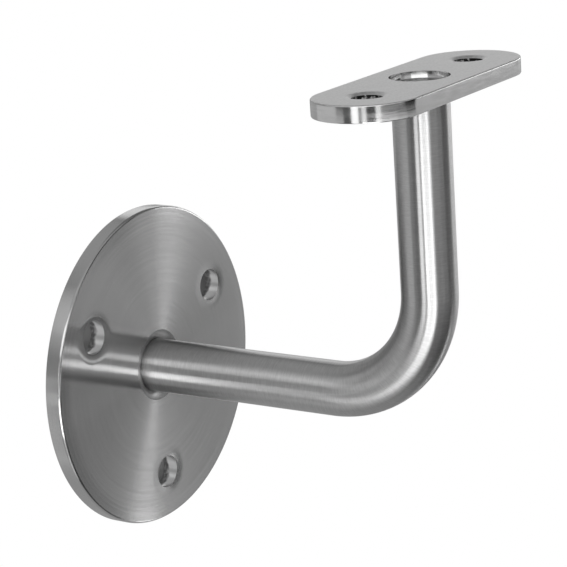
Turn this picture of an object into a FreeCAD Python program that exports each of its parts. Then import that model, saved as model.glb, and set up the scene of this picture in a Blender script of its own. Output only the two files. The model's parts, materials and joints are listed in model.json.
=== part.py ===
import FreeCAD, Part
import math
import os
import re
import Sketcher

# Handrail bracket of brushed stainless steel: a turned round wall plate, one bent round bar and a flat
# obround rail plate, held together by a ring weld behind the wall plate and one in the rail plate's bore.
# The wall is the plane Y = 0, the bracket reaches out along -Y, and the rail runs along X on top.

os.makedirs("parts", exist_ok=True)
doc = FreeCAD.newDocument("HandrailBracket")

# Driving dimensions in millimetres
SIZES = {
    "wall_plate_diameter": (73.0, "round wall plate, across"),
    "wall_plate_thickness": (3.8, "round wall plate, ground from 4 mm sheet"),
    "wall_plate_front_chamfer": (0.6, "45 degree edge on the room side"),
    "wall_plate_back_chamfer": (0.2, "deburred edge on the wall side"),
    "wall_screw_circle": (52.0, "circle through the three wall screw holes"),
    "wall_screw_bore": (7.5, "wall screw hole, across"),
    "wall_screw_mouth": (12.5, "rolled-in mouth of a wall screw hole, across"),
    "wall_screw_mouth_depth": (0.25, "how far that mouth sinks at the bore"),
    "bar_diameter": (12.0, "round bar, across"),
    "bar_clearance": (0.1, "gap round the bar in the wall plate"),
    "bar_mouth": (16.4, "rolled-in mouth round the bar, across"),
    "bar_mouth_depth": (0.35, "how far that mouth sinks at the bar"),
    "bar_end_chamfer": (0.3, "broken edge at both ends of the bar"),
    "bar_setback": (1.5, "from the wall to the hidden end of the bar"),
    "bend_radius": (24.0, "centre line of the bend"),
    "wall_distance": (75.0, "from the wall to the middle of the rail plate"),
    "rail_rise": (69.0, "from the middle of the wall plate to the rail seat"),
    "rail_plate_length": (65.0, "rail plate along the rail"),
    "rail_plate_width": (22.0, "rail plate across the rail"),
    "rail_plate_thickness": (3.5, "rail plate, up and down"),
    "rail_plate_top_chamfer": (0.3, "broken upper edge"),
    "rail_plate_bottom_chamfer": (0.2, "deburred lower edge"),
    "rail_bore_clearance": (0.25, "gap round the bar in the rail plate"),
    "rail_recess": (1.5, "from the rail seat down to the end of the bar"),
    "rail_screw_spacing": (43.0, "between the two rail screw holes"),
    "rail_screw_bore": (6.2, "rail screw hole, across"),
    "rail_screw_mouth": (9.0, "rolled-in mouth of a rail screw hole, across"),
    "rail_screw_mouth_depth": (0.5, "how far that mouth sinks at the bore"),
    "wall_weld_prep": (2.2, "45 degree seat for the weld behind the wall plate"),
    "wall_weld_inset": (0.2, "how far the weld stays below the wall face"),
    "wall_weld_lap": (1.2, "how far the weld covers the end of the bar"),
    "rail_weld_root": (1.0, "depth of the weld in the gap round the bar"),
    "rail_weld_leg": (0.45, "height and width of the weld above the end of the bar"),
}

sheet = doc.addObject("Spreadsheet::Sheet", "Sizes")
for row, (alias, (value, meaning)) in enumerate(SIZES.items(), start=1):
    sheet.set(f"A{row}", str(value))
    sheet.set(f"B{row}", meaning)
    sheet.setAlias(f"A{row}", alias)
doc.recompute()


def linked(formula):
    """Put the sheet's name before each driving dimension in a formula."""
    return re.sub(r"[a-z_]{3,}", lambda word: "Sizes." + word.group(0), formula)


def amount(formula):
    """Value of a formula in the driving dimensions."""
    return float(sheet.evalExpression(linked(formula)))


def roll_radius(mouth, bore, depth):
    """Radius of the arc that runs level out of the face and sinks by depth at the bore."""
    width = f"({mouth} - {bore}) / 2"
    return f"(({width}) * ({width}) + {depth} * {depth}) / (2 * {depth})"


def new_body(label):
    body = doc.addObject("PartDesign::Body", label)
    body.Label = label
    return body


def origin_part(body, role):
    """Origin plane or axis of a body, such as XY_Plane."""
    return next(item for item in body.Origin.OriginFeatures if item.Role == role)


def new_sketch(body, name, plane, shift_along="", lift="0"):
    """Empty sketch on an origin plane, shifted along its own first axis and lifted off the plane."""
    sketch = body.newObject("Sketcher::SketchObject", name)
    sketch.AttachmentSupport = (origin_part(body, plane), [""])
    sketch.MapMode = "FlatFace"
    if shift_along:
        sketch.setExpression("AttachmentOffset.Base.x", linked(shift_along))
    sketch.setExpression("AttachmentOffset.Base.z", linked(lift))
    return sketch


def bind(sketch, kind, *target):
    """Add a constraint whose last value is a formula."""
    index = sketch.addConstraint(Sketcher.Constraint(kind, *target[:-1], amount(target[-1])))
    sketch.setExpression(f"Constraints[{index}]", linked(target[-1]))


def arc_between(start, end, radius, centre_on_left):
    """Arc from start to end, whose centre lies on the left or the right of the way there."""
    chord = end - start
    offset = math.sqrt(max(radius * radius - chord.Length ** 2 / 4, 0))
    left = FreeCAD.Vector(-chord.y, chord.x, 0).normalize()
    side = 1 if centre_on_left else -1
    centre = (start + end) * 0.5 + left * (side * offset)
    first, last = (start, end) if centre_on_left else (end, start)
    angles = [math.atan2(point.y - centre.y, point.x - centre.x) for point in (first, last)]
    if angles[1] < angles[0]:
        angles[1] += 2 * math.pi
    circle = Part.Circle(centre, FreeCAD.Vector(0, 0, 1), radius)
    return Part.ArcOfCircle(circle, angles[0], angles[1])


def draw_outline(sketch, corners, arcs=None, closed=True):
    """Join corners, which are pairs of formulas, with lines and arcs that stay bound to them.

    arcs gives, for the number of a segment, its radius formula and whether its centre lies on the left.
    """
    arcs = arcs or {}
    points = [FreeCAD.Vector(amount(across), amount(up), 0) for across, up in corners]
    count = len(points) if closed else len(points) - 1
    ends = []
    for number in range(count):
        start, end = points[number], points[(number + 1) % len(points)]
        if number in arcs:
            radius, centre_on_left = arcs[number]
            edge = sketch.addGeometry(arc_between(start, end, amount(radius), centre_on_left), False)
            bind(sketch, "Radius", edge, radius)
            ends.append((edge, 1, 2) if centre_on_left else (edge, 2, 1))
        else:
            edge = sketch.addGeometry(Part.LineSegment(start, end), False)
            ends.append((edge, 1, 2))
    for number in range(count if closed else count - 1):
        edge, _, tail = ends[number]
        following, head, _ = ends[(number + 1) % count]
        sketch.addConstraint(Sketcher.Constraint("Coincident", edge, tail, following, head))
    for number, (across, up) in enumerate(corners):
        edge, head, tail = ends[min(number, count - 1)]
        place = head if number < count else tail
        bind(sketch, "DistanceX", edge, place, across)
        bind(sketch, "DistanceY", edge, place, up)


def draw_circle(sketch, radius):
    """Circle round the sketch's own centre."""
    circle = Part.Circle(FreeCAD.Vector(0, 0, 0), FreeCAD.Vector(0, 0, 1), amount(radius))
    edge = sketch.addGeometry(circle, False)
    sketch.addConstraint(Sketcher.Constraint("Coincident", edge, 3, -1, 1))
    bind(sketch, "Radius", edge, radius)


def draw_obround(sketch, length, width):
    """Outline with two straight sides and two half-round ends, centred, its length along the first axis."""
    reach = amount(f"({length} - {width}) / 2")
    radius = amount(f"{width} / 2")
    up = FreeCAD.Vector(0, 0, 1)
    right = Part.ArcOfCircle(Part.Circle(FreeCAD.Vector(reach, 0, 0), up, radius), -math.pi / 2, math.pi / 2)
    left = Part.ArcOfCircle(Part.Circle(FreeCAD.Vector(-reach, 0, 0), up, radius), math.pi / 2, 3 * math.pi / 2)
    top = Part.LineSegment(FreeCAD.Vector(reach, radius, 0), FreeCAD.Vector(-reach, radius, 0))
    bottom = Part.LineSegment(FreeCAD.Vector(-reach, -radius, 0), FreeCAD.Vector(reach, -radius, 0))
    right, top, left, bottom = [sketch.addGeometry(edge, False) for edge in (right, top, left, bottom)]
    for first, second in ((right, top), (top, left), (left, bottom), (bottom, right)):
        sketch.addConstraint(Sketcher.Constraint("Tangent", first, 2, second, 1))
    sketch.addConstraint(Sketcher.Constraint("Horizontal", top))
    sketch.addConstraint(Sketcher.Constraint("Symmetric", right, 3, left, 3, -1, 1))
    sketch.addConstraint(Sketcher.Constraint("PointOnObject", right, 3, -1))
    bind(sketch, "Radius", right, f"{width} / 2")
    bind(sketch, "DistanceX", left, 3, right, 3, f"{length} - {width}")


def turn(body, kind, name, sketch):
    """Turn a section all the way round its sketch's upright axis, to add or to cut."""
    feature = body.newObject("PartDesign::" + kind, name)
    feature.Profile = sketch
    feature.ReferenceAxis = (sketch, ["V_Axis"])
    feature.Angle = 360
    return feature


def edges_where(feature, test):
    """Names of a feature's edges whose bounding box passes a test."""
    doc.recompute()
    return [f"Edge{number}" for number, edge in enumerate(feature.Shape.Edges, start=1) if test(edge.BoundBox)]


def level_at(height):
    """Test for an edge that lies flat at a height."""
    return lambda box: abs(box.ZMin - height) < 1e-4 and abs(box.ZMax - height) < 1e-4


def break_edges(body, name, base, edges, size):
    """Chamfer on some edges of the feature before it."""
    feature = body.newObject("PartDesign::Chamfer", name)
    feature.Base = (base, edges)
    feature.setExpression("Size", linked(size))
    return feature


def hole_section(sketch, thickness, bore, mouth, depth):
    """Half section of a punched hole: straight bore, then a mouth that rolls in from the upper face."""
    corners = [
        ("0", "0"),
        (f"{bore} / 2", "0"),
        (f"{bore} / 2", f"{thickness} - {depth}"),
        (f"{mouth} / 2", thickness),
        ("0", thickness),
    ]
    draw_outline(sketch, corners, {2: (roll_radius(mouth, bore, depth), False)})


def make_wall_plate():
    """Round plate against the wall: turned blank with the bar's bore, and three punched screw holes."""
    body = new_body("wall_plate")
    blank_section = new_sketch(body, "BlankSection", "XZ_Plane")
    bore = "(bar_diameter / 2 + bar_clearance)"
    corners = [
        (f"{bore} + wall_weld_prep", "0"),
        ("wall_plate_diameter / 2 - wall_plate_back_chamfer", "0"),
        ("wall_plate_diameter / 2", "wall_plate_back_chamfer"),
        ("wall_plate_diameter / 2", "wall_plate_thickness - wall_plate_front_chamfer"),
        ("wall_plate_diameter / 2 - wall_plate_front_chamfer", "wall_plate_thickness"),
        ("bar_mouth / 2", "wall_plate_thickness"),
        (bore, "wall_plate_thickness - bar_mouth_depth"),
        (bore, "wall_weld_prep"),
    ]
    mouth_roll = roll_radius("bar_mouth", f"2 * {bore}", "bar_mouth_depth")
    draw_outline(blank_section, corners, {5: (mouth_roll, True)})
    turn(body, "Revolution", "Blank", blank_section)

    hole = new_sketch(body, "ScrewHoleSection", "YZ_Plane", "-wall_screw_circle / 2")
    hole_section(hole, "wall_plate_thickness", "wall_screw_bore", "wall_screw_mouth", "wall_screw_mouth_depth")
    cut = turn(body, "Groove", "ScrewHole", hole)
    doc.recompute()
    around = body.newObject("PartDesign::PolarPattern", "ScrewHoles")
    around.Originals = [cut]
    around.Axis = (origin_part(body, "Z_Axis"), [""])
    around.Angle = 360
    around.Occurrences = 3
    body.Tip = around
    return body


def make_bar():
    """Round bar: straight out of the wall plate, one square bend, straight up into the rail plate."""
    body = new_body("support_bar")
    section = new_sketch(body, "BarSection", "XY_Plane", lift="bar_setback")
    draw_circle(section, "bar_diameter / 2")
    centre_line = new_sketch(body, "BarCentreLine", "YZ_Plane")
    corners = [
        ("0", "bar_setback"),
        ("0", "wall_distance - bend_radius"),
        ("bend_radius", "wall_distance"),
        ("rail_rise - rail_recess", "wall_distance"),
    ]
    draw_outline(centre_line, corners, {1: ("bend_radius", False)}, closed=False)
    pipe = body.newObject("PartDesign::AdditivePipe", "BentBar")
    pipe.Profile = section
    pipe.Spine = (centre_line, ["Edge1", "Edge2", "Edge3"])
    wall_end = edges_where(pipe, level_at(amount("bar_setback")))
    top = amount("rail_rise - rail_recess")
    rail_end = edges_where(pipe, lambda box: box.YMin > top - 1e-4)
    break_edges(body, "BarEnds", pipe, wall_end + rail_end, "bar_end_chamfer")
    return body


def make_rail_plate():
    """Flat obround plate under the rail: a bore that takes the bar, and a punched hole near each end."""
    body = new_body("rail_plate")
    outline = new_sketch(body, "RailPlateOutline", "XY_Plane")
    draw_obround(outline, "rail_plate_length", "rail_plate_width")
    pad = body.newObject("PartDesign::Pad", "RailPlateBlank")
    pad.Profile = outline
    pad.setExpression("Length", linked("rail_plate_thickness"))
    upper = edges_where(pad, level_at(amount("rail_plate_thickness")))
    broken = break_edges(body, "UpperEdge", pad, upper, "rail_plate_top_chamfer")
    lower = edges_where(broken, level_at(0))
    break_edges(body, "LowerEdge", broken, lower, "rail_plate_bottom_chamfer")

    bore = new_sketch(body, "BarBore", "XY_Plane")
    draw_circle(bore, "bar_diameter / 2 + rail_bore_clearance")
    pocket = body.newObject("PartDesign::Pocket", "BarPocket")
    pocket.Profile = bore
    pocket.Type = "ThroughAll"
    pocket.Reversed = True

    hole = new_sketch(body, "RailScrewHoleSection", "XZ_Plane", "rail_screw_spacing / 2")
    hole_section(hole, "rail_plate_thickness", "rail_screw_bore", "rail_screw_mouth", "rail_screw_mouth_depth")
    cut = turn(body, "Groove", "RailScrewHole", hole)
    doc.recompute()
    other = body.newObject("PartDesign::Mirrored", "RailScrewHoles")
    other.Originals = [cut]
    other.MirrorPlane = (origin_part(body, "YZ_Plane"), [""])
    body.Tip = other
    return body


def make_wall_weld():
    """Ring weld behind the wall plate, in its seat round the end of the bar and dressed below the wall face."""
    body = new_body("wall_weld")
    section = new_sketch(body, "WallWeldSection", "XZ_Plane")
    bar = "bar_diameter / 2"
    bore = "(bar_diameter / 2 + bar_clearance)"
    corners = [
        (f"{bar} - bar_end_chamfer - wall_weld_lap", "bar_setback"),
        (f"{bar} - bar_end_chamfer", "bar_setback"),
        (bar, "bar_setback + bar_end_chamfer"),
        (bar, "wall_weld_prep"),
        (bore, "wall_weld_prep"),
        (f"{bore} + wall_weld_prep - wall_weld_inset", "wall_weld_inset"),
        (bar, "wall_weld_inset"),
    ]
    draw_outline(section, corners)
    turn(body, "Revolution", "WallWeldRing", section)
    return body


def make_rail_weld():
    """Small ring weld on the sunk end of the bar, run into the gap round it."""
    body = new_body("rail_weld")
    section = new_sketch(body, "RailWeldSection", "XZ_Plane")
    bar = "bar_diameter / 2"
    bore = "bar_diameter / 2 + rail_bore_clearance"
    seat = "rail_plate_thickness - rail_recess"
    corners = [
        (f"{bore} - bar_end_chamfer - rail_weld_leg", seat),
        (f"{bar} - bar_end_chamfer", seat),
        (bar, f"{seat} - bar_end_chamfer"),
        (bar, f"{seat} - rail_weld_root"),
        (bore, f"{seat} - rail_weld_root"),
        (bore, f"{seat} + rail_weld_leg"),
    ]
    draw_outline(section, corners)
    turn(body, "Revolution", "RailWeldRing", section)
    return body


def stand_on_wall(body):
    """Turn a body's own upright axis so that it points out of the wall, and its second axis up."""
    body.Placement = FreeCAD.Placement(FreeCAD.Vector(0, 0, 0), FreeCAD.Rotation(FreeCAD.Vector(1, 0, 0), 90))


def lift_to_rail(body):
    """Put a body that is drawn round the middle of the rail plate's lower face where that face belongs."""
    body.setExpression(".Placement.Base.y", linked("-wall_distance"))
    body.setExpression(".Placement.Base.z", linked("rail_rise - rail_plate_thickness"))


wall_side = [make_wall_plate(), make_bar(), make_wall_weld()]
rail_side = [make_rail_plate(), make_rail_weld()]
for piece in wall_side:
    stand_on_wall(piece)
for piece in rail_side:
    lift_to_rail(piece)
doc.recompute()

for item in doc.Objects:
    if "Invalid" in item.State or "Error" in item.State:
        raise RuntimeError(f"{item.Label} did not build: {item.State}")
for piece in wall_side + rail_side:
    shape = piece.Shape
    if shape.isNull() or not shape.isValid() or len(shape.Solids) != 1:
        raise RuntimeError(f"{piece.Label} is not one valid solid")
    print(f"{piece.Label}: {shape.Volume:.1f} cubic mm, {len(shape.Faces)} faces")
for piece in wall_side + rail_side:
    piece.Shape.exportStep(f"parts/{piece.Label}.step")
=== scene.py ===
"""A wall bracket for a handrail, dressed in brushed steel: a turned wall plate, a round bar bent
square, a flat rail plate and the two ring welds that hold the bar."""

import json
import math

import bmesh
import bpy
from bpy.props import FloatProperty, FloatVectorProperty, IntProperty, PointerProperty
from mathutils import Matrix, Vector, noise


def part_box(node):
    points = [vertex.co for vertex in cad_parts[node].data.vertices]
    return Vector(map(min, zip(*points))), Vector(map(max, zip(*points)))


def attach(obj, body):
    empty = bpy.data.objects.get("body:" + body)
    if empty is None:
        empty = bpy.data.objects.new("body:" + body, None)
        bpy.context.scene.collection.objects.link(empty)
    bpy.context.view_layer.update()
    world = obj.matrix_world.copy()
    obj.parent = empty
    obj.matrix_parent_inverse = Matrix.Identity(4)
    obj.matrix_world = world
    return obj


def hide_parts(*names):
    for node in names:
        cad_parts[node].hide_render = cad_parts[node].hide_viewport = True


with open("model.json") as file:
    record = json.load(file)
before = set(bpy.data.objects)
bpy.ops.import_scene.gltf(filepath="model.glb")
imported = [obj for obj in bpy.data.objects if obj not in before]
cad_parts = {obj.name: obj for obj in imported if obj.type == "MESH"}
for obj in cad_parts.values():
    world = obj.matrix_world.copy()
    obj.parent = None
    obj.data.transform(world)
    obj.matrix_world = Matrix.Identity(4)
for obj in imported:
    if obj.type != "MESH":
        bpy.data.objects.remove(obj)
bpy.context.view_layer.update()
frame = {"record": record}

bl_info = {
    "name": "Handrail bracket",
    "version": (1, 0, 0),
    "blender": (4, 5, 0),
    "location": "3D View > Sidebar > Bracket",
    "description": "Models and finishes the pieces of a brushed steel handrail bracket",
    "category": "Add Mesh",
}

MM = 0.001
WHITE = (1, 1, 1, 1)
PLATE_LOW, PLATE_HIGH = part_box("wall_plate")
BAR_LOW, BAR_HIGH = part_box("support_bar")
RAIL_LOW, RAIL_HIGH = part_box("rail_plate")
WALL_WELD_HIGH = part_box("wall_weld")[1]
RAIL_WELD_LOW, RAIL_WELD_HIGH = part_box("rail_weld")
MOUNTS = {mount["name"]: mount["dims"] for mount in frame["record"]["mounts"]}

# Places closer than the first count as the same, and points closer than the second are merged.
TINY = 1e-5
MERGE_GAP = 1e-6

# How far a cutting tool stands past the metal, and how far its mouth ends above the face.
SPARE = 1 * MM
LIFT = 0.002 * MM

# Straight sides of the tools for the bar's bores and for the screw holes.
BORE_SIDES = 128
HOLE_SIDES = 96

# Faces this near a plate's outline belong to its edge, and a face is the wall of a hole where its
# normal has less than this along the hole's axis.
EDGE_ZONE = 1 * MM
STEEP = 0.5

# Most values of a noise node lie between these two.
NOISE_LOW = 0.3
NOISE_HIGH = 0.7

# The bar's UV map, and the share of a turn that spreads the shine across the brushing.
BRUSHING = "brushing"
QUARTER_TURN = 0.25


def length(name, description, default):
    """A size in metres that a user may change."""
    return FloatProperty(name=name, description=description, default=default, min=0.0,
                         unit="LENGTH", precision=5)


def colour(name, description, default):
    """A colour that a user may change."""
    return FloatVectorProperty(name=name, description=description, default=default, min=0.0,
                               max=1.0, size=3, subtype="COLOR")


def factor(name, description, default):
    """A plain number from 0 to 1, such as a roughness."""
    return FloatProperty(name=name, description=description, default=default, min=0.0, max=1.0,
                         subtype="FACTOR")


def angle(name, description, degrees):
    """An angle that a user may change, given here in degrees."""
    return FloatProperty(name=name, description=description, default=math.radians(degrees),
                         subtype="ANGLE")


def amount(name, description, default):
    """A number with no unit."""
    return FloatProperty(name=name, description=description, default=default, min=0.0)


def count(name, description, default):
    """A whole number."""
    return IntProperty(name=name, description=description, default=default, min=1)


class WallPlateSettings(bpy.types.PropertyGroup):
    """Sizes and finish of the round plate on the wall."""

    diameter: length("Diameter", "Across the plate", PLATE_HIGH.x - PLATE_LOW.x)
    thickness: length("Thickness", "From the wall to the front face", PLATE_HIGH.y - PLATE_LOW.y)
    front_edge: length("Front edge", "Width of the broken edge in front", 0.6 * MM)
    back_edge: length("Back edge", "Width of the broken edge on the wall", 0.2 * MM)
    hole_circle: length("Hole circle", "Circle that the screw holes lie on",
                        MOUNTS["wall_screws"]["pcd_mm"] * MM)
    holes: count("Holes", "Screw holes on the circle", MOUNTS["wall_screws"]["count"])
    hole_bore: length("Hole bore", "Straight bore of a screw hole",
                      2 * MOUNTS["wall_screws"]["hole_r_mm"] * MM)
    hole_mouth: length("Hole mouth", "Where the rolled-in mouth starts", 12.5 * MM)
    hole_depth: length("Mouth depth", "How far the mouth sinks", 0.18 * MM)
    bar_play: length("Play", "Gap between bar and bore", 0.1 * MM)
    bar_mouth: length("Bar mouth", "Mouth round the bar", 16.4 * MM)
    bar_mouth_depth: length("Bar mouth depth", "How far that mouth sinks", 0.8 * MM)
    weld_seat: length("Weld seat", "Width of the seat cut on the back", 2.2 * MM)
    sides: count("Sides", "Straight sides that stand for the round edge", 256)
    steel: colour("Steel", "Colour of the plate", (0.56, 0.56, 0.56))
    # Darker than the plate: painted shade in the hollow mouth round the bar.
    mouth_shaded_steel: colour("Mouth steel", "Colour of the mouth round the bar", (0.4, 0.4, 0.4))
    roughness: factor("Roughness", "Spread of the shine across the brushing", 0.2)
    scratch_depth: length("Scratch depth", "Depth of the fine scratches", 0.004 * MM)
    rim_roll: length("Rim roll", "How far the face rolls off towards its rim", 0.1 * MM)


class BarSettings(bpy.types.PropertyGroup):
    """Sizes and finish of the bent bar."""

    diameter: length("Diameter", "Across the bar", BAR_HIGH.x - BAR_LOW.x)
    setback: length("Setback", "From the wall to the bar's end", -BAR_HIGH.y)
    bend_radius: length("Bend radius", "To the middle of the bar", 24 * MM)
    end_edge: length("End edge", "Broken edge at both ends", 0.3 * MM)
    sides: count("Sides", "Straight sides that stand for the round bar", 128)
    bend_steps: count("Bend steps", "Steps of the bend", 64)
    steel: colour("Steel", "Colour of the bar", (0.56, 0.56, 0.56))
    scratch_depth: length("Scratch depth", "Depth of the fine brushing", 0.004 * MM)
    roughness: factor("Roughness", "Spread of the shine on the straight runs", 0.285)
    bend_roughness: factor("Bend roughness", "Spread of the shine in the bend", 0.32)
    bend_fade: length("Bend fade", "How gently the brushing changes at the bend", 5 * MM)


class RailPlateSettings(bpy.types.PropertyGroup):
    """Sizes and finish of the flat plate under the rail."""

    length: length("Length", "Along the rail", RAIL_HIGH.x - RAIL_LOW.x)
    width: length("Width", "Across the rail", RAIL_HIGH.y - RAIL_LOW.y)
    top_edge: length("Top edge", "Broken edge round the top", 0.3 * MM)
    bottom_edge: length("Bottom edge", "Broken edge round the underside", 0.2 * MM)
    bar_bore: length("Bar bore", "Bore that takes the bar", 12.5 * MM)
    hole_spacing: length("Hole spacing", "Between the two screw holes",
                         MOUNTS["rail_screws"]["spacing_x_mm"] * MM)
    hole_bore: length("Hole bore", "Straight bore of a screw hole",
                      2 * MOUNTS["rail_screws"]["hole_r_mm"] * MM)
    hole_mouth: length("Hole mouth", "Where the rolled-in mouth starts", 9.0 * MM)
    hole_depth: length("Mouth depth", "How far the mouth sinks", 0.5 * MM)
    sides: count("Sides", "Straight sides that stand for the two round ends", 192)
    steel: colour("Steel", "Colour of the plate", (0.65, 0.65, 0.65))
    face_roughness: factor("Face roughness", "Matte, blasted faces", 0.5)
    edge_roughness: factor("Edge roughness", "Linished edge", 0.15)
    bore_steel: colour("Bore steel", "Colour of the bar's bore and the bar's end",
                       (0.75, 0.75, 0.75))
    bore_roughness: factor("Bore roughness", "Smooth bore of the bar", 0.12)


class WeldSettings(bpy.types.PropertyGroup):
    """The two ring welds."""

    ripples: count("Ripples", "Ripples in the bead on the wall side", 34)
    ripple_height: length("Ripple height", "How far a ripple stands out", 0.12 * MM)
    rail_lump: angle("Lump", "Where the bead in the rail plate stands up, round the bar", 165)
    steel: colour("Steel", "Colour of the beads", (0.5, 0.5, 0.5))
    roughness: factor("Roughness", "Spread of the shine", 0.42)


class StageSettings(bpy.types.PropertyGroup):
    """Camera, floor and lights."""

    view_azimuth: angle("View azimuth", "Turn of the camera about the vertical", -57.025)
    view_elevation: angle("View elevation", "Height of the camera", 15.214)
    view_roll: angle("View roll", "Tilt of the picture", -3.873)
    view_distance: length("View distance", "From the camera to its target", 433.0 * MM)
    focal_length: amount("Focal length", "In millimetres, on a 36 mm wide picture", 126.94)
    target_out: length("Target out", "How far the camera's target stands off the wall", 39.128 * MM)
    target_up: length("Target up", "Height of the camera's target", 22.453 * MM)
    floor_drop: length("Floor drop", "From the bracket's axis down to the floor", 0.9)
    floor_radius: length("Floor radius", "Round piece of floor", 1.2)
    floor_tint: colour("Floor", "Pale floor", (0.9, 0.9, 0.9))
    wall_patch: length("Wall patch", "Radius of the wall seen through the screw holes", 33 * MM)
    wall_gap: length("Wall gap", "From the plate's back to the patch", 0.3 * MM)
    # Dark grey: partly the wall's colour, partly painted shade behind the plate.
    wall_shade_tint: colour("Wall", "Grey wall", (0.25, 0.25, 0.25))
    tent_radius: length("Tent radius", "Grey cloth tent round the bracket", 0.85)
    tent_level: amount("Tent level", "Brightness of the grey cloth", 0.42)


def begin():
    """Leaves the last piece with nothing selected, so that an operator acts on the next one alone."""
    if bpy.context.object and bpy.context.object.mode != "OBJECT":
        bpy.ops.object.mode_set(mode="OBJECT")
    bpy.ops.object.select_all(action="DESELECT")


def settle(name):
    """Names the object just added and puts its place and turn into its mesh."""
    piece = bpy.context.object
    piece.name = name
    piece.data.name = name
    bpy.ops.object.transform_apply(location=True, rotation=True, scale=True)
    return piece


def edit(piece, kind):
    """Opens the piece in edit mode with nothing selected. kind is VERT, EDGE or FACE."""
    begin()
    piece.select_set(True)
    bpy.context.view_layer.objects.active = piece
    bpy.ops.object.mode_set(mode="EDIT")
    bpy.ops.mesh.select_mode(type=kind)
    bpy.ops.mesh.select_all(action="DESELECT")


def pick(piece, kind, wanted):
    """Selects the vertices or edges whose every point passes the test, and nothing else."""
    bpy.ops.mesh.select_mode(type=kind)
    bpy.ops.mesh.select_all(action="DESELECT")
    mesh = bmesh.from_edit_mesh(piece.data)
    if kind == "VERT":
        chosen = [vertex for vertex in mesh.verts if wanted(vertex.co)]
    else:
        chosen = [edge for edge in mesh.edges if all(wanted(end.co) for end in edge.verts)]
    if not chosen:
        raise RuntimeError(f"{piece.name}: nothing to select")
    for element in chosen:
        element.select_set(True)
    mesh.select_flush_mode()
    bmesh.update_edit_mesh(piece.data)


def extrude(shift):
    """Extrudes what is selected by a shift."""
    bpy.ops.mesh.extrude_region_move(TRANSFORM_OT_translate={"value": shift})


def extrude_run(shift, steps):
    """Extrudes what is selected by a shift, in equal steps."""
    for _ in range(steps):
        extrude(tuple(part / steps for part in shift))


def break_edges(piece, width, wanted, segments):
    """Rounds off the edges whose two ends pass the test."""
    pick(piece, "EDGE", wanted)
    bpy.ops.mesh.bevel(offset=width, segments=segments, affect="EDGES", offset_type="OFFSET")


def point_outwards():
    """Merges doubles and turns all faces outwards, in edit mode."""
    bpy.ops.mesh.select_all(action="SELECT")
    bpy.ops.mesh.remove_doubles(threshold=MERGE_GAP)
    bpy.ops.mesh.normals_make_consistent(inside=False)


def apply_modifier(piece, kind, **values):
    """Adds one modifier and applies it."""
    begin()
    piece.select_set(True)
    bpy.context.view_layer.objects.active = piece
    modifier = piece.modifiers.new(kind.lower(), kind)
    for key, value in values.items():
        setattr(modifier, key, value)
    bpy.ops.object.modifier_apply(modifier=modifier.name)


def turned_tool(rings, sides):
    """A round tool on the vertical axis through rings of (radius, height), closed at both ends."""
    begin()
    radius, height = rings[0]
    bpy.ops.mesh.primitive_circle_add(vertices=sides, radius=radius, fill_type="NGON",
                                      location=(0, 0, height))
    tool = settle("tool")
    edit(tool, "FACE")
    bpy.ops.mesh.select_all(action="SELECT")
    for next_radius, next_height in rings[1:]:
        extrude((0, 0, next_height - height))
        ratio = next_radius / radius
        bpy.ops.transform.resize(value=(ratio, ratio, 1), center_override=(0, 0, next_height))
        radius, height = next_radius, next_height
    point_outwards()
    bpy.ops.object.mode_set(mode="OBJECT")
    return tool


def mouth_rings(bore, mouth, depth, steps=10):
    """Rings of a rolled-in mouth: an arc that rises from the bore and leaves the face level. The
    last ring lies just above the face, so that tool and face don't share a plane."""
    width = (mouth - bore) / 2
    roll = (width ** 2 + depth ** 2) / (2 * depth)
    rings = []
    for step in range(steps):
        run = width * (1 - step / steps)
        rings.append((mouth / 2 - run, math.sqrt(roll ** 2 - run ** 2) - roll))
    return rings + [(mouth / 2, LIFT)]


def hole_tool(bore, mouth, depth, thickness):
    """The punch for a screw hole, with the face that it enters at height 0."""
    rings = mouth_rings(bore, mouth, depth)
    return turned_tool([(bore / 2, -thickness - SPARE)] + rings + [(mouth / 2, SPARE)], HOLE_SIDES)


def cut(piece, tool, place, turn):
    """Turns the tool, moves it to its place, cuts the piece with it and throws it away."""
    begin()
    tool.select_set(True)
    bpy.context.view_layer.objects.active = tool
    tool.location = place
    tool.rotation_euler = turn
    bpy.ops.object.transform_apply(location=True, rotation=True, scale=True)
    apply_modifier(piece, "BOOLEAN", object=tool, operation="DIFFERENCE", solver="EXACT")
    bpy.data.objects.remove(tool)


def hand_over(piece, node, flat=True, crease=40):
    """Smooths the piece and sets it in the place of its plain solid."""
    begin()
    piece.select_set(True)
    bpy.context.view_layer.objects.active = piece
    bpy.ops.object.shade_smooth_by_angle(angle=math.radians(crease))
    if flat:
        apply_modifier(piece, "WEIGHTED_NORMAL", keep_sharp=True)
    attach(piece, "root")
    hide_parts(node)


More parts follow.
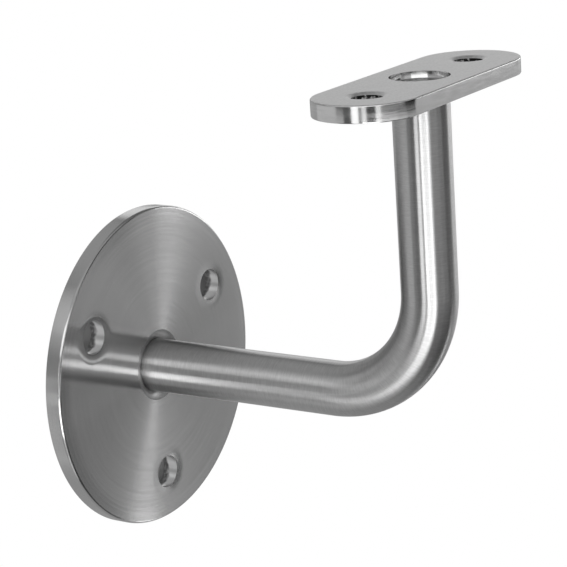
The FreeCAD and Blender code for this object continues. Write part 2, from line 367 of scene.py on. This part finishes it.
class Nodes:
    """Builds the node tree of a new material or world with short calls."""

    def __init__(self, owner):
        owner.use_nodes = True
        self.owner = owner
        self.tree = owner.node_tree
        self.tree.nodes.clear()

    def add(self, kind, inputs=None, **values):
        """Adds a node, sets its values and fills its inputs with numbers or other sockets."""
        node = self.tree.nodes.new("ShaderNode" + kind)
        for key, value in values.items():
            setattr(node, key, value)
        for key, value in (inputs or {}).items():
            if isinstance(value, bpy.types.NodeSocket):
                self.tree.links.new(value, node.inputs[key])
            else:
                node.inputs[key].default_value = value
        return node

    def math(self, operation, first, second=0.0, third=0.0):
        """One sum on numbers or sockets."""
        return self.add("Math", {0: first, 1: second, 2: third}, operation=operation).outputs[0]

    def vector(self, operation, first, second=(0, 0, 0)):
        """One sum on vectors."""
        return self.add("VectorMath", {0: first, 1: second}, operation=operation).outputs[0]

    def scale(self, vector, ratio):
        """A vector or colour times a number."""
        return self.add("VectorMath", {0: vector, "Scale": ratio}, operation="SCALE").outputs[0]

    def noise(self, vector, gap=1.0, detail=2.0, roughness=0.5):
        """Noise from 0 to 1, whose grains lie about a gap apart."""
        return self.add("TexNoise", {"Vector": vector, "Scale": 1 / gap, "Detail": detail,
                                     "Roughness": roughness}).outputs["Fac"]

    def blend(self, first, second, share):
        """Two grains over each other. The first has this share of 1."""
        return self.math("ADD", self.math("MULTIPLY", first, share),
                         self.math("MULTIPLY", second, 1 - share))

    def spread(self, value, low, high, start=0.0, end=1.0):
        """Carries a value from one range to another, with smooth ends."""
        return self.add("MapRange", {"Value": value, "From Min": start, "From Max": end,
                                     "To Min": low, "To Max": high},
                        interpolation_type="SMOOTHSTEP").outputs[0]

    def swing(self, grain, middle, reach):
        """Carries noise to a range that reaches as far below a middle value as above it."""
        return self.spread(grain, middle - reach, middle + reach, NOISE_LOW, NOISE_HIGH)

    def bump(self, height, distance):
        """Bends the surface's normal by a height, given in parts of a distance."""
        return self.add("Bump", {"Height": height, "Strength": 1.0, "Distance": distance}).outputs[0]

    def metal(self, steel, shade, roughness, normal, tangent=None):
        """A metal, its colour times a shade near 1. With a tangent it is brushed along it, and the
        shine spreads across the brushing."""
        inputs = {"Base Color": self.scale(tuple(steel), shade), "Metallic": 1.0,
                  "Roughness": roughness, "Normal": normal}
        if tangent is not None:
            inputs["Anisotropic"] = 1.0
            inputs["Tangent"] = tangent
            inputs["Anisotropic Rotation"] = QUARTER_TURN
        return self.finish(self.add("BsdfPrincipled", inputs))

    def finish(self, shader, output="OutputMaterial"):
        """Leads the shader to an output and gives back the material or world."""
        self.add(output, {0: shader.outputs[0]})
        return self.owner


def new_material(name):
    """The empty node tree of a new material."""
    return Nodes(bpy.data.materials.new(name))


def turned_steel(sizes):
    """Steel brushed in circles round the Y axis, finer and coarser scratches over each other."""
    nodes = new_material("turned_steel")
    place = nodes.add("TexCoord").outputs["Object"]
    flat = nodes.vector("MULTIPLY", place, (1, 0, 1))
    radius = nodes.add("VectorMath", {0: flat}, operation="LENGTH").outputs["Value"]
    heading = nodes.vector("NORMALIZE", flat)

    def rings(gap, turns, detail):
        """Noise in rings that lie a gap apart and last part of a turn."""
        across = nodes.add("CombineXYZ", {"Y": nodes.math("MULTIPLY", radius, 1 / gap)}).outputs[0]
        along = nodes.scale(heading, turns)
        return nodes.noise(nodes.vector("ADD", across, along), detail=detail, roughness=0.6)

    fine = rings(gap=0.5 * MM, turns=1.2, detail=3.0)
    coarse = rings(gap=2.0 * MM, turns=0.5, detail=2.0)
    scratches = rings(gap=0.13 * MM, turns=0.8, detail=1.0)
    centred = nodes.math("SUBTRACT", nodes.blend(fine, coarse, 0.7), 0.5)
    rim = sizes.diameter / 2
    at_rim = nodes.spread(radius, 0.0, 1.0, rim - 6 * MM, rim - 1 * MM)
    contrast, rim_contrast, roughness_contrast = 0.28, 0.25, 0.02
    shade = nodes.math("MULTIPLY_ADD", centred,
                       nodes.math("MULTIPLY_ADD", at_rim, rim_contrast, contrast), 1.0)
    roughness = nodes.math("MULTIPLY_ADD", centred, roughness_contrast, sizes.roughness)
    roll = nodes.spread(radius, 0.0, -sizes.rim_roll, rim - 4 * MM, rim + 1 * MM)
    height = nodes.math("MULTIPLY_ADD", scratches, sizes.scratch_depth, roll)
    tangent = nodes.add("Tangent", direction_type="RADIAL", axis="Y").outputs[0]
    return nodes.metal(sizes.steel, shade, roughness, nodes.bump(height, 1.0), tangent)


def bar_reach(sizes):
    """How far the middle of the upright leg and the start of the bend stand off the wall."""
    reach = -BAR_LOW.y - sizes.diameter / 2
    return reach, reach - sizes.bend_radius


def bend_stations(sizes):
    """Where the bend starts and ends, along the bar's middle line from its end in the wall."""
    start = bar_reach(sizes)[1] - sizes.setback
    return start, start + sizes.bend_radius * math.pi / 2


def brushed_bar_steel(sizes):
    """Steel brushed round the bar. The UV map runs round the bar and along it, in metres."""
    nodes = new_material("brushed_bar_steel")
    lay = nodes.add("SeparateXYZ", {0: nodes.add("UVMap", uv_map=BRUSHING).outputs[0]})
    turn = nodes.math("MULTIPLY", lay.outputs["X"], 2 * math.pi)
    station = lay.outputs["Y"]
    heading = nodes.add("CombineXYZ", {"X": nodes.math("COSINE", turn),
                                       "Y": nodes.math("SINE", turn)}).outputs[0]

    def bands(gap, turns):
        """Noise in bands round the bar that lie a gap apart and last part of a turn."""
        along = nodes.add("CombineXYZ", {"Z": nodes.math("MULTIPLY", station, 1 / gap)}).outputs[0]
        return nodes.noise(nodes.vector("ADD", along, nodes.scale(heading, turns)), roughness=0.6)

    fine = bands(gap=0.22 * MM, turns=3.0)
    grain = nodes.blend(fine, bands(gap=1.5 * MM, turns=0.5), 0.85)
    bend_start, bend_end = bend_stations(sizes)
    fade = sizes.bend_fade
    entering = nodes.spread(station, 0.0, 1.0, bend_start - fade, bend_start + fade)
    leaving = nodes.spread(station, 1.0, 0.0, bend_end - fade, bend_end + fade)
    in_bend = nodes.math("MULTIPLY", entering, leaving)
    ground = nodes.spread(in_bend, sizes.roughness, sizes.bend_roughness)
    roughness = nodes.math("ADD", ground, nodes.swing(grain, 0.0, 0.006))
    tangent = nodes.add("Tangent", direction_type="UV_MAP", uv_map=BRUSHING).outputs[0]
    return nodes.metal(sizes.steel, nodes.swing(grain, 1.0, 0.08), roughness,
                       nodes.bump(fine, sizes.scratch_depth), tangent)


def blasted_steel(name, steel, level):
    """Matte steel with a fine even grain. level is its roughness."""
    nodes = new_material(name)
    place = nodes.add("TexCoord").outputs["Object"]
    grain = nodes.noise(place, gap=0.6 * MM, detail=3.0)
    cloud = nodes.noise(place, gap=5 * MM)
    mottle = nodes.blend(grain, cloud, 0.7)
    return nodes.metal(steel, nodes.swing(mottle, 1.0, 0.12), nodes.swing(mottle, level, 0.05),
                       nodes.bump(grain, 0.01 * MM))


def linished_edge_steel(sizes):
    """The rail plate's edge, ground smooth along its outline, with a few faint streaks."""
    nodes = new_material("linished_edge_steel")
    place = nodes.add("TexCoord").outputs["Object"]
    streak_length, streak_gap = 5 * MM, 0.5 * MM
    stretched = nodes.vector("MULTIPLY", place, (1 / streak_length, 1 / streak_length, 1 / streak_gap))
    grain = nodes.noise(stretched, detail=3.0)
    return nodes.metal(sizes.steel, nodes.swing(grain, 1.0, 0.05),
                       nodes.swing(grain, sizes.edge_roughness, 0.03),
                       nodes.bump(grain, 0.004 * MM))


def reamed_steel(name, steel, level):
    """Smooth bright steel, as a reamed bore or a faced end has. level is its roughness."""
    nodes = new_material(name)
    place = nodes.add("TexCoord").outputs["Object"]
    mark_length, mark_gap = 3 * MM, 0.2 * MM
    stretched = nodes.vector("MULTIPLY", place, (1 / mark_length, 1 / mark_length, 1 / mark_gap))
    grain = nodes.noise(stretched)
    return nodes.metal(steel, nodes.swing(grain, 1.0, 0.05), nodes.swing(grain, level, 0.02),
                       nodes.bump(grain, 0.001 * MM))


def punched_steel(name, steel, axis, face, burnish, light, dark, fleck):
    """The wall of a punched hole: smooth and light where the punch went in, dark and torn below; the
    darkening below is partly painted shade. burnish is how deep the smooth part goes, and fleck how
    light the specks in the torn part are."""
    nodes = new_material(name)
    place = nodes.add("TexCoord").outputs["Object"]
    along = nodes.add("SeparateXYZ", {0: place}).outputs[axis]
    depth = nodes.math("ABSOLUTE", nodes.math("SUBTRACT", along, face))
    ragged = nodes.math("MULTIPLY", nodes.noise(place, gap=2.2 * MM), 2.4 * MM)
    torn_and_shaded = nodes.spread(nodes.math("ADD", depth, ragged), 0.0, 1.0,
                        burnish + 0.8 * MM, burnish + 1.6 * MM)
    speck = nodes.spread(nodes.noise(place, gap=0.7 * MM), 0.0, fleck, 0.5, 0.62)
    deep = nodes.math("ADD", speck, dark)
    # Darker with depth into the hole: partly the torn steel, partly painted shade.
    shade = nodes.math("MULTIPLY_ADD", torn_and_shaded, nodes.math("SUBTRACT", deep, light), light)
    grain = nodes.noise(place, gap=0.4 * MM, detail=3.0)
    height = nodes.math("MULTIPLY", grain, nodes.math("MULTIPLY_ADD", torn_and_shaded, 0.9, 0.1))
    roughness = nodes.math("MULTIPLY_ADD", torn_and_shaded, 0.3, 0.3)
    return nodes.metal(steel, shade, roughness, nodes.bump(height, 0.08 * MM))


def map_bar(piece, sizes):
    """Writes the bar's UV map: the turn round it, and the way along its middle line in metres."""
    reach, bend_from = bar_reach(sizes)
    first_run, bend_end = bend_stations(sizes)

    def station(point):
        """(turn, way) of a point on the bar."""
        out = -(point.y + bend_from)
        down = sizes.bend_radius - point.z
        if out <= 0:
            return math.atan2(point.z, point.x), -point.y - sizes.setback
        if down <= 0:
            return math.atan2(point.y + reach, point.x), bend_end - down
        inward = sizes.bend_radius - math.hypot(out, down)
        return math.atan2(inward, point.x), first_run + sizes.bend_radius * math.atan2(out, down)

    layer = piece.data.uv_layers.new(name=BRUSHING)
    for face in piece.data.polygons:
        turns = []
        for loop in face.loop_indices:
            turn, way = station(piece.data.vertices[piece.data.loops[loop].vertex_index].co)
            turns.append((loop, turn / (2 * math.pi) % 1.0, way))
        wraps = max(turn for _, turn, _ in turns) - min(turn for _, turn, _ in turns) > 0.5
        for loop, turn, way in turns:
            layer.data[loop].uv = (turn + 1 if wraps and turn < 0.5 else turn, way)


def share_out(piece, materials, choose):
    """Gives the piece its materials, and each face the one whose number choose gives for it."""
    for material in materials:
        piece.data.materials.append(material)
    for face in piece.data.polygons:
        face.material_index = choose(face.center, face.normal)


class BRACKET_OT_wall_plate(bpy.types.Operator):
    """Turns the wall plate, cuts the bar's bore and punches the three screw holes"""

    bl_idname = "bracket.wall_plate"
    bl_label = "Wall plate"

    def execute(self, context):
        sizes = context.scene.bracket_wall_plate
        bar = context.scene.bracket_bar
        face = -sizes.thickness
        rim = sizes.diameter / 2
        facing_out = (math.pi / 2, 0, 0)
        begin()
        bpy.ops.mesh.primitive_cylinder_add(vertices=sizes.sides, radius=rim, depth=sizes.thickness,
                                            location=(0, face / 2, 0), rotation=facing_out)
        plate = settle("wall_plate_turned")
        edit(plate, "EDGE")
        break_edges(plate, sizes.front_edge, lambda point: point.y < face + TINY, segments=4)
        break_edges(plate, sizes.back_edge, lambda point: point.y > -TINY, segments=2)
        bore = bar.diameter + 2 * sizes.bar_play
        seat = [(bore / 2 + sizes.weld_seat + SPARE, face - SPARE),
                (bore / 2, face + sizes.weld_seat)]
        mouth = mouth_rings(bore, sizes.bar_mouth, sizes.bar_mouth_depth)
        bore_tool = turned_tool(seat + mouth + [(sizes.bar_mouth / 2, SPARE)], BORE_SIDES)
        cut(plate, bore_tool, (0, face, 0), facing_out)
        circle = sizes.hole_circle / 2
        for number in range(sizes.holes):
            around = -math.pi / 2 + 2 * math.pi * number / sizes.holes
            punch = hole_tool(sizes.hole_bore, sizes.hole_mouth, sizes.hole_depth, sizes.thickness)
            place = (circle * math.cos(around), face, circle * math.sin(around))
            cut(plate, punch, place, facing_out)
        brushed, punched, lip = range(3)
        lip_tilt = 0.3

        def choose(centre, normal):
            """Which finish a face gets: the brushed faces and edge, a screw hole or the bar's mouth,
            whose darker colour is painted shade.
            """
            out = math.hypot(centre.x, centre.z)
            if out < sizes.bar_mouth / 2:
                return lip if centre.y > face + LIFT and normal.y < lip_tilt else brushed
            return punched if abs(normal.y) < STEEP and out < rim - EDGE_ZONE else brushed

        share_out(plate, [turned_steel(sizes),
                          # The screw holes darken with depth, partly painted shade.
                          punched_steel("punched_hole_steel", sizes.steel, "Y", face,
                                        burnish=2.4 * MM, light=1.3, dark=0.3, fleck=0.2),
                          # Darker steel for the bar's mouth: painted shade of the hollow round the bar.
                          blasted_steel("bar_mouth_steel", sizes.mouth_shaded_steel, level=0.4)], choose)
        hand_over(plate, "wall_plate")
        return {"FINISHED"}


class BRACKET_OT_support_bar(bpy.types.Operator):
    """Extrudes the round bar out of the wall, bends it and carries it up to the rail"""

    bl_idname = "bracket.support_bar"
    bl_label = "Support bar"

    def execute(self, context):
        sizes = context.scene.bracket_bar
        radius = sizes.diameter / 2
        bend_start = bar_reach(sizes)[1]
        begin()
        bpy.ops.mesh.primitive_circle_add(vertices=sizes.sides, radius=radius, fill_type="NOTHING",
                                          location=(0, -sizes.setback, 0),
                                          rotation=(math.pi / 2, 0, 0))
        bar = settle("support_bar_bent")
        edit(bar, "EDGE")
        bpy.ops.mesh.select_all(action="SELECT")
        extrude_run((0, sizes.setback - bend_start, 0), sizes.bend_steps)
        bpy.ops.mesh.spin(steps=sizes.bend_steps, angle=math.pi / 2,
                          center=(0, -bend_start, sizes.bend_radius), axis=(1, 0, 0))
        extrude_run((0, 0, BAR_HIGH.z - sizes.bend_radius), sizes.bend_steps)
        for wanted in (lambda point: point.y > -sizes.setback - TINY,
                       lambda point: point.z > BAR_HIGH.z - TINY):
            pick(bar, "EDGE", wanted)
            bpy.ops.mesh.edge_face_add()
            break_edges(bar, sizes.end_edge, wanted, 3)
        point_outwards()
        bpy.ops.object.mode_set(mode="OBJECT")
        map_bar(bar, sizes)
        rail = context.scene.bracket_rail_plate
        faced_end = reamed_steel("faced_end_steel", rail.bore_steel, rail.bore_roughness)
        share_out(bar, [brushed_bar_steel(sizes), faced_end],
                  lambda centre, normal: int(centre.z > BAR_HIGH.z - TINY))
        hand_over(bar, "support_bar", flat=False)
        return {"FINISHED"}


class BRACKET_OT_rail_plate(bpy.types.Operator):
    """Cuts the rail plate to its outline, with the bar's bore and two punched screw holes"""

    bl_idname = "bracket.rail_plate"
    bl_label = "Rail plate"

    def execute(self, context):
        sizes = context.scene.bracket_rail_plate
        bottom, top = RAIL_LOW.z, RAIL_HIGH.z
        middle = (RAIL_LOW.y + RAIL_HIGH.y) / 2
        end_radius = sizes.width / 2
        half_straight = sizes.length / 2 - end_radius
        begin()
        bpy.ops.mesh.primitive_circle_add(vertices=sizes.sides, radius=end_radius,
                                          fill_type="NOTHING",
                                          location=(half_straight, middle, bottom))
        plate = settle("rail_plate_cut")
        edit(plate, "VERT")
        pick(plate, "VERT", lambda point: point.x < half_straight - TINY)
        bpy.ops.mesh.delete(type="VERT")
        pick(plate, "VERT", lambda point: point.x < half_straight + TINY)
        extrude((-half_straight, 0, 0))
        bpy.ops.object.mode_set(mode="OBJECT")
        apply_modifier(plate, "MIRROR", merge_threshold=TINY)
        edit(plate, "EDGE")
        bpy.ops.mesh.select_all(action="SELECT")
        bpy.ops.mesh.edge_face_add()
        extrude((0, 0, top - bottom))
        point_outwards()
        break_edges(plate, sizes.top_edge, lambda point: point.z > top - TINY, segments=3)
        break_edges(plate, sizes.bottom_edge, lambda point: point.z < bottom + TINY, segments=2)
        upright = (0, 0, 0)
        thickness = top - bottom
        bore_radius = sizes.bar_bore / 2
        bore_tool = turned_tool([(bore_radius, -thickness - SPARE), (bore_radius, SPARE)], BORE_SIDES)
        cut(plate, bore_tool, (0, middle, top), upright)
        for side in (-1, 1):
            punch = hole_tool(sizes.hole_bore, sizes.hole_mouth, sizes.hole_depth, thickness)
            cut(plate, punch, (side * sizes.hole_spacing / 2, middle, top), upright)
        faces, edge, bore, holes = range(4)

        def choose(centre, normal):
            """Which finish a face gets: the flats, the edge, the bar's bore or a screw hole."""
            if abs(normal.z) > STEEP:
                return faces
            out = math.hypot(max(abs(centre.x) - half_straight, 0), centre.y - middle)
            if out > end_radius - EDGE_ZONE:
                return edge
            return bore if abs(centre.x) < bore_radius + TINY else holes

        share_out(plate, [blasted_steel("blasted_steel", sizes.steel, sizes.face_roughness),
                          linished_edge_steel(sizes),
                          reamed_steel("reamed_steel", sizes.bore_steel, sizes.bore_roughness),
                          # Nearly black all through: painted shade of the deep, narrow screw holes, with
                          # lighter specks.
                          punched_steel("shaded_hole_steel", sizes.steel, "Z", top,
                                        burnish=0.0, light=0.3, dark=0.03, fleck=0.7)], choose)
        hand_over(plate, "rail_plate")
        return {"FINISHED"}


def make_bead(name, section_radius, ring_radius, steps, sides=16):
    """A round bead on the vertical axis: one small circle spun into a ring."""
    begin()
    bpy.ops.mesh.primitive_circle_add(vertices=sides, radius=section_radius, fill_type="NOTHING",
                                      location=(ring_radius, 0, 0),
                                      rotation=(math.pi / 2, 0, 0))
    bead = settle(name)
    edit(bead, "EDGE")
    bpy.ops.mesh.select_all(action="SELECT")
    bpy.ops.mesh.spin(steps=steps, angle=2 * math.pi, center=(0, 0, 0), axis=(0, 0, 1))
    point_outwards()
    bpy.ops.object.mode_set(mode="OBJECT")
    return bead


class BRACKET_OT_welds(bpy.types.Operator):
    """Lays the ring weld behind the wall plate and the one in the rail plate's bore"""

    bl_idname = "bracket.welds"
    bl_label = "Ring welds"

    def execute(self, context):
        sizes = context.scene.bracket_weld
        bar_radius = context.scene.bracket_bar.diameter / 2
        finish = blasted_steel("weld_steel", sizes.steel, sizes.roughness)
        crease = 60

        outer, back = WALL_WELD_HIGH.x, WALL_WELD_HIGH.y
        half = (outer - bar_radius) / 2
        crown_drop = 0.25 * MM
        steps_per_ripple = 6
        wall_bead = make_bead("wall_weld_bead", half, bar_radius + half, steps_per_ripple * sizes.ripples)
        for vertex in wall_bead.data.vertices:
            around = math.atan2(vertex.co.y, vertex.co.x)
            out = math.hypot(vertex.co.x, vertex.co.y)
            ripple = sizes.ripple_height * abs(math.sin(around * sizes.ripples / 2))
            rise = vertex.co.z / half
            slope = ripple if rise > 0 else outer - out
            depth = back - crown_drop + slope * rise
            vertex.co = (out * math.cos(around), min(depth, back), out * math.sin(around))
        wall_bead.data.materials.append(finish)
        hand_over(wall_bead, "wall_weld", flat=False, crease=crease)

        centre = (RAIL_LOW.y + RAIL_HIGH.y) / 2
        outer = RAIL_WELD_HIGH.x
        half = 0.4 * MM
        lump_sharpness, unevenness, knots, slice_height = 4, 0.15, 2.3, 3.0
        rail_bead = make_bead("rail_weld_bead", half, outer - half, steps=180)
        for vertex in rail_bead.data.vertices:
            around = math.atan2(vertex.co.y, vertex.co.x)
            out = math.hypot(vertex.co.x, vertex.co.y)
            toward_lump = max(math.cos(around - sizes.rail_lump), 0.0) ** lump_sharpness
            heading = Vector((math.cos(around), math.sin(around), slice_height))
            uneven = unevenness * noise.noise(heading * knots)
            rise = (RAIL_WELD_HIGH.z - RAIL_WELD_LOW.z - 2 * half) * min(toward_lump + uneven, 1.0)
            height = RAIL_WELD_LOW.z + half + max(rise, 0.0) + vertex.co.z
            vertex.co = (out * math.cos(around), centre + out * math.sin(around), height)
        rail_bead.data.materials.append(finish)
        hand_over(rail_bead, "rail_weld", flat=False, crease=crease)
        return {"FINISHED"}


def look_along(azimuth, elevation):
    """The direction from the bracket to a place at this azimuth and elevation."""
    return Vector((math.sin(azimuth) * math.cos(elevation), -math.cos(azimuth) * math.cos(elevation),
                   math.sin(elevation)))


def add_camera(sizes, target):
    """A camera at the photograph's place, tilted by its roll."""
    back = look_along(sizes.view_azimuth, sizes.view_elevation)
    right = Vector((0, 0, 1)).cross(back).normalized()
    up = back.cross(right)
    turn = Matrix.Rotation(sizes.view_roll, 3, back)
    axes = Matrix((turn @ right, turn @ up, back)).transposed()
    data = bpy.data.cameras.new("camera")
    data.lens = sizes.focal_length
    data.sensor_width = 36.0
    data.clip_start = 0.01
    camera = bpy.data.objects.new("camera", data)
    bpy.context.scene.collection.objects.link(camera)
    camera.matrix_world = Matrix.Translation(target + back * sizes.view_distance) @ axes.to_4x4()
    bpy.context.scene.camera = camera


def seen_ray(nodes):
    """1 for rays from the camera, from shine and from glass, and 0 for light on the object."""
    path = nodes.add("LightPath")
    seen = nodes.math("ADD", path.outputs["Is Camera Ray"], path.outputs["Is Glossy Ray"])
    return nodes.math("MINIMUM", nodes.math("ADD", seen, path.outputs["Is Transmission Ray"]), 1.0)


def glowing(name, level):
    """A cloth or lamp front that glows evenly."""
    nodes = new_material(name)
    return nodes.finish(nodes.add("Emission", {"Color": WHITE, "Strength": level}))


# The glowing panels in the tent. Each has its azimuth from and to and its elevation from and to, in
# degrees as seen from the bracket, its distance as a share of the tent's radius, and its level. The
# levels were fitted to the shine in the photograph, then rounded and changed.
PANELS = {
    "left_wing": (-123, -89, -48, 0, 0.97, 0.11),
    "left_strip": (-123, -106, -14, -7, 0.93, 0.6),
    "left_side": (-150, -89, 0, 17, 0.97, 0.3),
    "left_high": (-155, -68, 25, 46, 0.96, 0.7),
    "front_top": (-90, 0, 46, 62, 0.96, 0.6),
    "front_high_left": (-90, -68, 16, 36, 0.95, 2.2),
    "front_high": (-68, -27, 16, 36, 0.95, 1.8),
    "front_high_right": (-27, 0, 7, 26, 0.95, 0.7),
    "front_mid_right": (-42, -27, 7, 16, 0.95, 1.3),
    "front_left": (-90, -76, -33, 12, 0.94, 1.6),
    "front_left_gap": (-76, -70, -46, 16, 0.93, 0.25),
    "front": (-69, -36, -34, -12, 0.94, 4.8),
    "front_low": (-90, -33, -46, -34, 0.94, 0.9),
    "front_left_upper": (-71, -61, -12, 12, 0.94, 1.0),
    "front_right": (-43, -34, -12, 7, 0.94, 1.0),
    "front_right_fringe": (-36, -30, -34, -12, 0.94, 1.25),
    "front_bottom": (-90, -30, -62, -46, 0.95, 0.9),
    "camera_shadow": (-61, -43, -12, 9, 0.92, 0.0),
    "camera_top": (-61, -43, 9, 16, 0.92, 0.7),
    "camera_stand": (-60, -45, -18, -12, 0.92, 2.8),
    "floor_dark": (-30, 50, -62, -22, 0.96, 0.05),
    "front_strip": (-39, 0, -13, -8, 0.93, 1.35),
    "side_strip": (0, 24, -13, -8, 0.93, 1.0),
    "right_strip": (24, 50, -13, -8, 0.93, 0.65),
    "fill_low": (-32, 50, -22, -6, 0.96, 0.03),
    "fill": (-32, 18, -6, 8, 0.95, 0.24),
    "side_dark": (18, 50, -6, 26, 0.96, 0.0),
    "side_high": (-20, 60, 26, 46, 0.96, 0.5),
    "wedge_low": (56, 62, -4, 6, 0.94, 2.6),
    "wedge_middle": (62, 90, 0, 6, 0.94, 3.2),
    "wedge_high": (59, 90, 6, 13, 0.94, 1.1),
    "wedge_top": (50, 90, 13, 36, 0.945, 0.12),
    "wedge_under": (52, 60, -40, -34, 0.94, 2.9),
    "wedge_bottom": (56, 64, -46, -40, 0.94, 3.2),
    "right": (74, 135, -5, 34, 0.95, 1.05),
    "right_rim": (98, 140, -8, 7, 0.94, 0.25),
    "right_low": (52, 122, -46, -5, 0.96, 0.5),
    "right_floor": (70, 122, -46, -24, 0.94, 0.25),
    "right_top_dark": (50, 135, 36, 88, 0.96, 0.2),
    "back_left": (-180, -123, -46, 0, 0.97, 0.6),
    "back_left_up": (-180, -150, 0, 46, 0.97, 0.3),
}


def add_panel(name, middle, radius, left, right, bottom, top, share, level):
    """A curved glowing panel, part of a ball round the bracket, between two azimuths and heights."""
    steps = 12
    points = []
    for row in range(steps + 1):
        elevation = math.radians(bottom + (top - bottom) * row / steps)
        for column in range(steps + 1):
            azimuth = math.radians(left + (right - left) * column / steps)
            points.append(middle + look_along(azimuth, elevation) * radius * share)
    faces = []
    for row in range(steps):
        for column in range(steps):
            corner = row * (steps + 1) + column
            faces.append((corner, corner + 1, corner + steps + 2, corner + steps + 1))
    mesh = bpy.data.meshes.new(name)
    mesh.from_pydata(points, [], faces)
    panel = bpy.data.objects.new(name, mesh)
    bpy.context.scene.collection.objects.link(panel)
    mesh.materials.append(glowing(name, level))
    panel.visible_camera = False


def light_world(scene):
    """A white world that shows at full strength and lights at less."""
    lighting, showing = 0.5, 1.0
    scene.world = bpy.data.worlds.new("studio")
    nodes = Nodes(scene.world)
    level = nodes.spread(seen_ray(nodes), lighting, showing)
    nodes.finish(nodes.add("Background", {"Color": WHITE, "Strength": level}), "OutputWorld")


def add_disc(name, radius, place, turn=(0, 0, 0)):
    """A flat round piece of the stage."""
    begin()
    bpy.ops.mesh.primitive_circle_add(vertices=96, radius=radius, fill_type="NGON", location=place,
                                      rotation=turn)
    return settle(name)


def lay_floor(sizes, middle):
    """The pale floor, which shows nearly white and keeps the bracket's shadow."""
    floor = add_disc("floor", sizes.floor_radius, (0, middle.y, -sizes.floor_drop))
    white_share = 0.9
    nodes = new_material("pale_floor")
    seen = nodes.math("MULTIPLY", seen_ray(nodes), white_share)
    matte = nodes.add("BsdfDiffuse", {"Color": (*sizes.floor_tint, 1)})
    white = nodes.add("Emission", {"Color": WHITE, "Strength": 1.0})
    mix = nodes.add("MixShader", {0: seen, 1: matte.outputs[0], 2: white.outputs[0]})
    floor.data.materials.append(nodes.finish(mix))


def put_wall_patch(sizes):
    """A grey patch of wall behind the plate, which only the camera sees, and only from in front. Its dark
    grey is partly the wall's own colour and partly painted shade behind the plate.
    """
    patch = add_disc("wall_patch", sizes.wall_patch, (0, sizes.wall_gap, 0), (math.pi / 2, 0, 0))
    nodes = new_material("wall_plaster_and_shade")
    plaster = nodes.add("BsdfDiffuse", {"Color": (*sizes.wall_shade_tint, 1)})
    clear = nodes.add("BsdfTransparent")
    behind = nodes.add("NewGeometry").outputs["Backfacing"]
    mix = nodes.add("MixShader", {0: behind, 1: plaster.outputs[0], 2: clear.outputs[0]})
    patch.data.materials.append(nodes.finish(mix))
    patch.visible_diffuse = False
    patch.visible_glossy = False
    patch.visible_shadow = False


def pitch_tent(sizes, middle):
    """The grey tent round the bracket, with its panels. The camera sees neither."""
    begin()
    bpy.ops.mesh.primitive_uv_sphere_add(segments=48, ring_count=24, radius=sizes.tent_radius,
                                         location=middle)
    tent = settle("tent")
    tent.data.materials.append(glowing("grey_cloth", sizes.tent_level))
    tent.visible_camera = False
    tent.visible_shadow = False
    for name, place in PANELS.items():
        add_panel(name, middle, sizes.tent_radius, *place)


class BRACKET_OT_stage(bpy.types.Operator):
    """Sets up the camera, the pale floor, the patch of wall, the grey tent and its panels"""

    bl_idname = "bracket.stage"
    bl_label = "Stage"

    def execute(self, context):
        scene = context.scene
        sizes = scene.bracket_stage
        target = Vector((0, -sizes.target_out, sizes.target_up))
        add_camera(sizes, target)
        scene.view_settings.view_transform = "Standard"
        light_world(scene)
        lay_floor(sizes, target)
        put_wall_patch(sizes)
        pitch_tent(sizes, target)
        return {"FINISHED"}


class BRACKET_PT_panel(bpy.types.Panel):
    """Lists the bracket's pieces and its stage."""

    bl_idname = "BRACKET_PT_panel"
    bl_label = "Handrail bracket"
    bl_space_type = "VIEW_3D"
    bl_region_type = "UI"
    bl_category = "Bracket"

    def draw(self, context):
        for operator in OPERATORS:
            self.layout.operator(operator.bl_idname)


SETTINGS = {
    "bracket_wall_plate": WallPlateSettings,
    "bracket_bar": BarSettings,
    "bracket_rail_plate": RailPlateSettings,
    "bracket_weld": WeldSettings,
    "bracket_stage": StageSettings,
}
OPERATORS = (
    BRACKET_OT_stage,
    BRACKET_OT_wall_plate,
    BRACKET_OT_support_bar,
    BRACKET_OT_rail_plate,
    BRACKET_OT_welds,
)


def register():
    """Registers the settings, the operators and the panel."""
    for name, settings in SETTINGS.items():
        bpy.utils.register_class(settings)
        setattr(bpy.types.Scene, name, PointerProperty(type=settings))
    for operator in OPERATORS:
        bpy.utils.register_class(operator)
    bpy.utils.register_class(BRACKET_PT_panel)


def unregister():
    """Takes them away again."""
    bpy.utils.unregister_class(BRACKET_PT_panel)
    for operator in reversed(OPERATORS):
        bpy.utils.unregister_class(operator)
    for name, settings in SETTINGS.items():
        delattr(bpy.types.Scene, name)
        bpy.utils.unregister_class(settings)


def main():
    """Makes the stage and every piece."""
    register()
    bpy.ops.bracket.stage()
    bpy.ops.bracket.wall_plate()
    bpy.ops.bracket.support_bar()
    bpy.ops.bracket.rail_plate()
    bpy.ops.bracket.welds()


if __name__ == "__main__":
    main()
